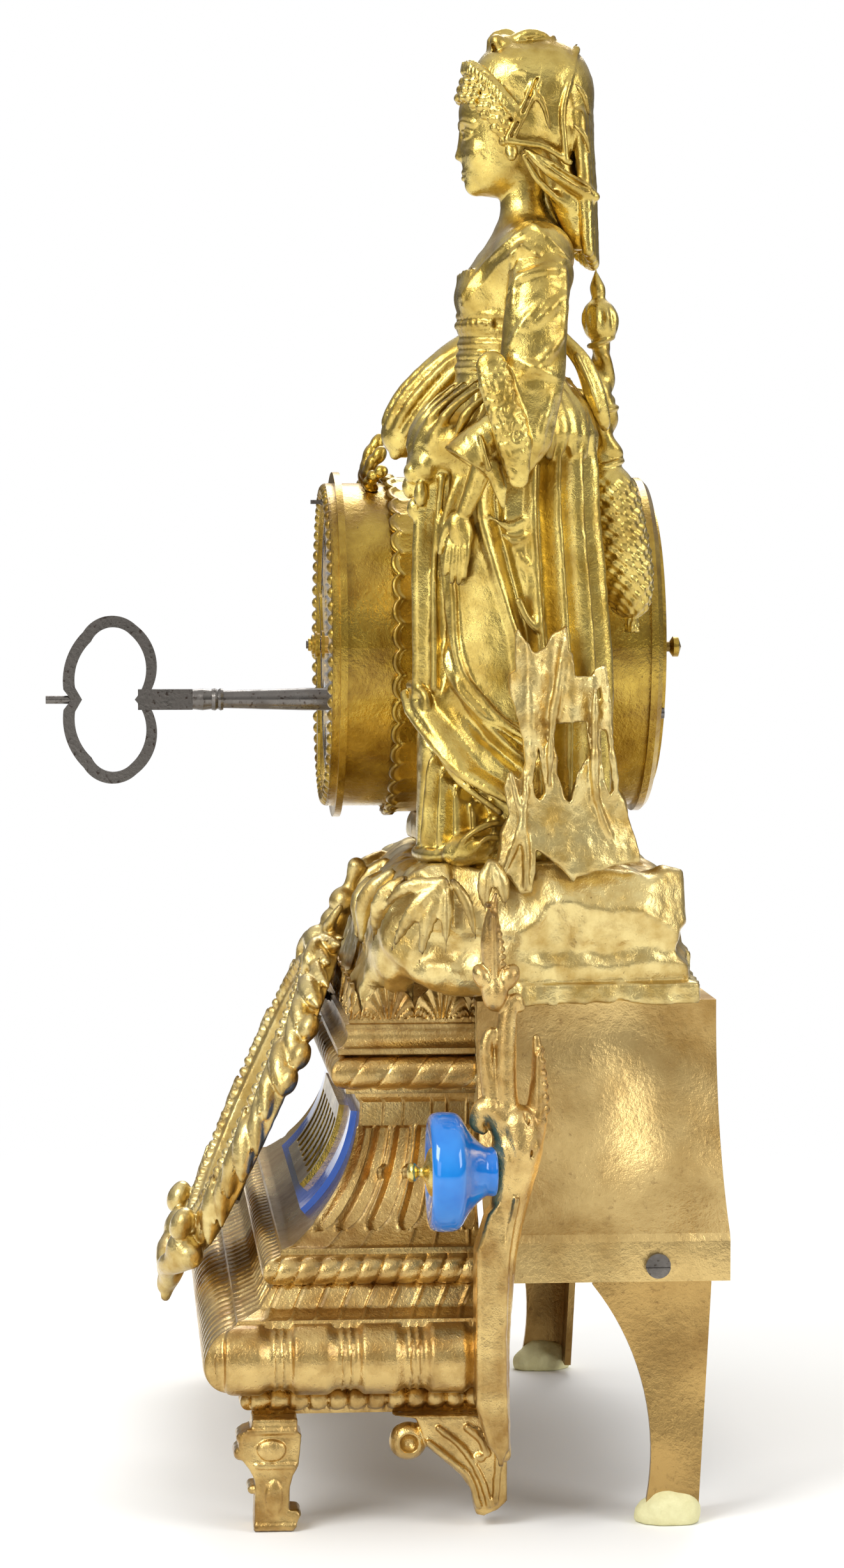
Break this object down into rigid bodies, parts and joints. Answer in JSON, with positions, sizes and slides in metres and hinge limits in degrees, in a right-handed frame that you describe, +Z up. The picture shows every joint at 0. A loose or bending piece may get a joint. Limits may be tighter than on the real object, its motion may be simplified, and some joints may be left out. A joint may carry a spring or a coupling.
{
  "type": "figural mantel clock",
  "caption": "Gilt mantel clock: standing robed figure beside a drum clock on a rocky mound, moulded base with porcelain trims, leaning plaque frame, winding key in the dial.",
  "frame": {"origin": "on the floor, at the middle of the overall box", "axes": "+X to the right of someone facing the dial, +Y from dial to back, +Z up"},
  "size_m": [0.268, 0.187, 0.41],
  "materials": {
    "gilt_base": "worn gilding on cast spelter",
    "gilt_figure": "bright gilding on cast spelter",
    "gilt_rock": "worn gilding on cast spelter",
    "gilt_drum": "polished gilding",
    "sheet_brass": "satin sheet",
    "movement_brass": "satin",
    "steel": "tarnished",
    "blue_porcelain": "gloss glaze",
    "white_porcelain": "gloss glaze",
    "dial_enamel": "gloss enamel",
    "putty": "dull"
  },
  "bodies": {
    "case": {"back_cover": "sheet_brass", "base_casting": "gilt_base", "bell": "movement_brass", "bell_stand": "movement_brass", "bezel_beads": "gilt_drum", "case_bolts": "steel", "cove_mount": "gilt_base", "cove_panel": "blue_porcelain", "dial": "dial_enamel", "distaff": "gilt_figure", "drum_band": "gilt_drum", "drum_case": "gilt_drum", "drum_crest": "gilt_drum", "drum_saddle": "gilt_rock", "figure_body": "gilt_figure", "figure_far_arm": "gilt_figure", "figure_head": "gilt_figure", "figure_near_arm": "gilt_figure", "frame_stud": "steel", "front_bezel": "gilt_drum", "front_feet": "gilt_base", "front_plaque": "white_porcelain", "leg_pads": "putty", "leg_screws": "steel", "movement_back_plate": "movement_brass", "movement_front_plate": "movement_brass", "plaque_clips": "steel", "plaque_frame": "gilt_base", "rear_bezel": "gilt_drum", "rear_legs": "sheet_brass", "rock_mound": "gilt_rock", "rosette_knobs": "gilt_drum", "rosettes": "blue_porcelain", "scroll_brackets": "gilt_base", "scroll_ears": "gilt_base", "strap_screws": "steel", "suspension_cock": "movement_brass", "tree_stump": "gilt_rock"},
    "minute_work": {"cannon_pinion": "steel", "minute_hand": "gilt_drum", "hand_nut": "gilt_drum"},
    "hour_work": {"hour_wheel": "movement_brass", "hour_hand": "gilt_drum"},
    "minute_wheel": {"minute_wheel": "movement_brass"},
    "going_barrel": {"going_barrel": "movement_brass"},
    "strike_barrel": {"strike_barrel": "movement_brass"},
    "going_winder": {"going_winder": "steel"},
    "strike_winder": {"strike_winder": "steel"},
    "going_click": {"going_click": "steel"},
    "strike_click": {"strike_click": "steel"},
    "centre_arbor": {"centre_arbor": "steel"},
    "second_wheel": {"second_wheel": "movement_brass"},
    "third_wheel": {"third_wheel": "movement_brass"},
    "escape_wheel": {"escape_wheel": "movement_brass"},
    "anchor": {"anchor": "steel"},
    "pendulum": {"pendulum": "movement_brass"},
    "regulator_arbor": {"regulator_arbor": "steel"},
    "hammer": {"hammer": "steel"},
    "rear_door": {"rear_door": "gilt_drum"},
    "winding_key": {"winding_key": "steel"}
  },
  "joints": [
    {"name": "minute_turn", "type": "hinge", "parent": "case", "child": "minute_work", "pos_m": [-0.015, -0.0085, 0.238], "axis": [0, 1, 0], "range_deg": [-32, 296]},
    {"name": "hour_turn", "type": "hinge", "parent": "case", "child": "hour_work", "pos_m": [-0.015, -0.0085, 0.238], "axis": [0, 1, 0], "range_deg": [-3, 25]},
    {"name": "minute_wheel_turn", "type": "hinge", "parent": "case", "child": "minute_wheel", "pos_m": [-0.02747, -0.0085, 0.2452], "axis": [0, 1, 0], "range_deg": [-99, 11]},
    {"name": "third_turn", "type": "hinge", "parent": "case", "child": "third_wheel", "pos_m": [-0.02625, -0.0085, 0.25141], "axis": [0, 1, 0], "continuous": true},
    {"name": "centre_turn", "type": "hinge", "parent": "case", "child": "centre_arbor", "pos_m": [-0.015, -0.0085, 0.238], "axis": [0, 1, 0], "continuous": true},
    {"name": "second_turn", "type": "hinge", "parent": "case", "child": "second_wheel", "pos_m": [0.00137, -0.0085, 0.24258], "axis": [0, 1, 0], "continuous": true},
    {"name": "going_barrel_turn", "type": "hinge", "parent": "case", "child": "going_barrel", "pos_m": [0.005, -0.0085, 0.2224], "axis": [0, 1, 0], "continuous": true},
    {"name": "escape_turn", "type": "hinge", "parent": "case", "child": "escape_wheel", "pos_m": [-0.015, -0.0085, 0.25559], "axis": [0, 1, 0], "continuous": true},
    {"name": "strike_barrel_turn", "type": "hinge", "parent": "case", "child": "strike_barrel", "pos_m": [-0.035, -0.0085, 0.2224], "axis": [0, 1, 0], "continuous": true},
    {"name": "going_wind", "type": "hinge", "parent": "case", "child": "going_winder", "pos_m": [0.005, -0.0085, 0.2224], "axis": [0, 1, 0], "range_deg": [0, 1440]},
    {"name": "strike_wind", "type": "hinge", "parent": "case", "child": "strike_winder", "pos_m": [-0.035, -0.0085, 0.2224], "axis": [0, 1, 0], "range_deg": [-1440, 0]},
    {"name": "going_click_lift", "type": "hinge", "parent": "case", "child": "going_click", "pos_m": [0.0165, -0.0085, 0.2289], "axis": [0, 1, 0], "range_deg": [0, 15]},
    {"name": "strike_click_lift", "type": "hinge", "parent": "case", "child": "strike_click", "pos_m": [-0.0465, -0.0085, 0.2289], "axis": [0, 1, 0], "range_deg": [-15, 0]},
    {"name": "pendulum_swing", "type": "hinge", "parent": "case", "child": "pendulum", "pos_m": [-0.015, -0.0085, 0.27], "axis": [0, 1, 0], "range_deg": [-4, 4]},
    {"name": "anchor_swing", "type": "hinge", "parent": "case", "child": "anchor", "pos_m": [-0.015, -0.0085, 0.27], "axis": [0, 1, 0], "range_deg": [-4, 4]},
    {"name": "regulator_turn", "type": "hinge", "parent": "case", "child": "regulator_arbor", "pos_m": [-0.015, -0.0085, 0.2806], "axis": [0, 1, 0], "range_deg": [-360, 360]},
    {"name": "hammer_swing", "type": "hinge", "parent": "case", "child": "hammer", "pos_m": [-0.005, -0.0085, 0.2745], "axis": [0, 1, 0], "range_deg": [-10, 0]},
    {"name": "door_swing", "type": "hinge", "parent": "case", "child": "rear_door", "pos_m": [-0.0675, 0.0861, 0.238], "axis": [0, 0, 1], "range_deg": [0, 110]},
    {"name": "key_pull", "type": "slide", "parent": "going_winder", "child": "winding_key", "axis": [0, -1, 0], "range_m": [0, 0.06]}
  ],
  "couplings": [
    {"joint": "minute_wheel_turn", "follows": "minute_turn", "ratio": -0.33333},
    {"joint": "hour_turn", "follows": "minute_turn", "ratio": 0.083333},
    {"joint": "centre_turn", "follows": "third_turn", "ratio": -0.16667},
    {"joint": "second_turn", "follows": "third_turn", "ratio": 0.035714},
    {"joint": "going_barrel_turn", "follows": "third_turn", "ratio": -0.0049603},
    {"joint": "escape_turn", "follows": "third_turn", "ratio": -5},
    {"joint": "anchor_swing", "follows": "pendulum_swing", "ratio": 1}
  ]
}
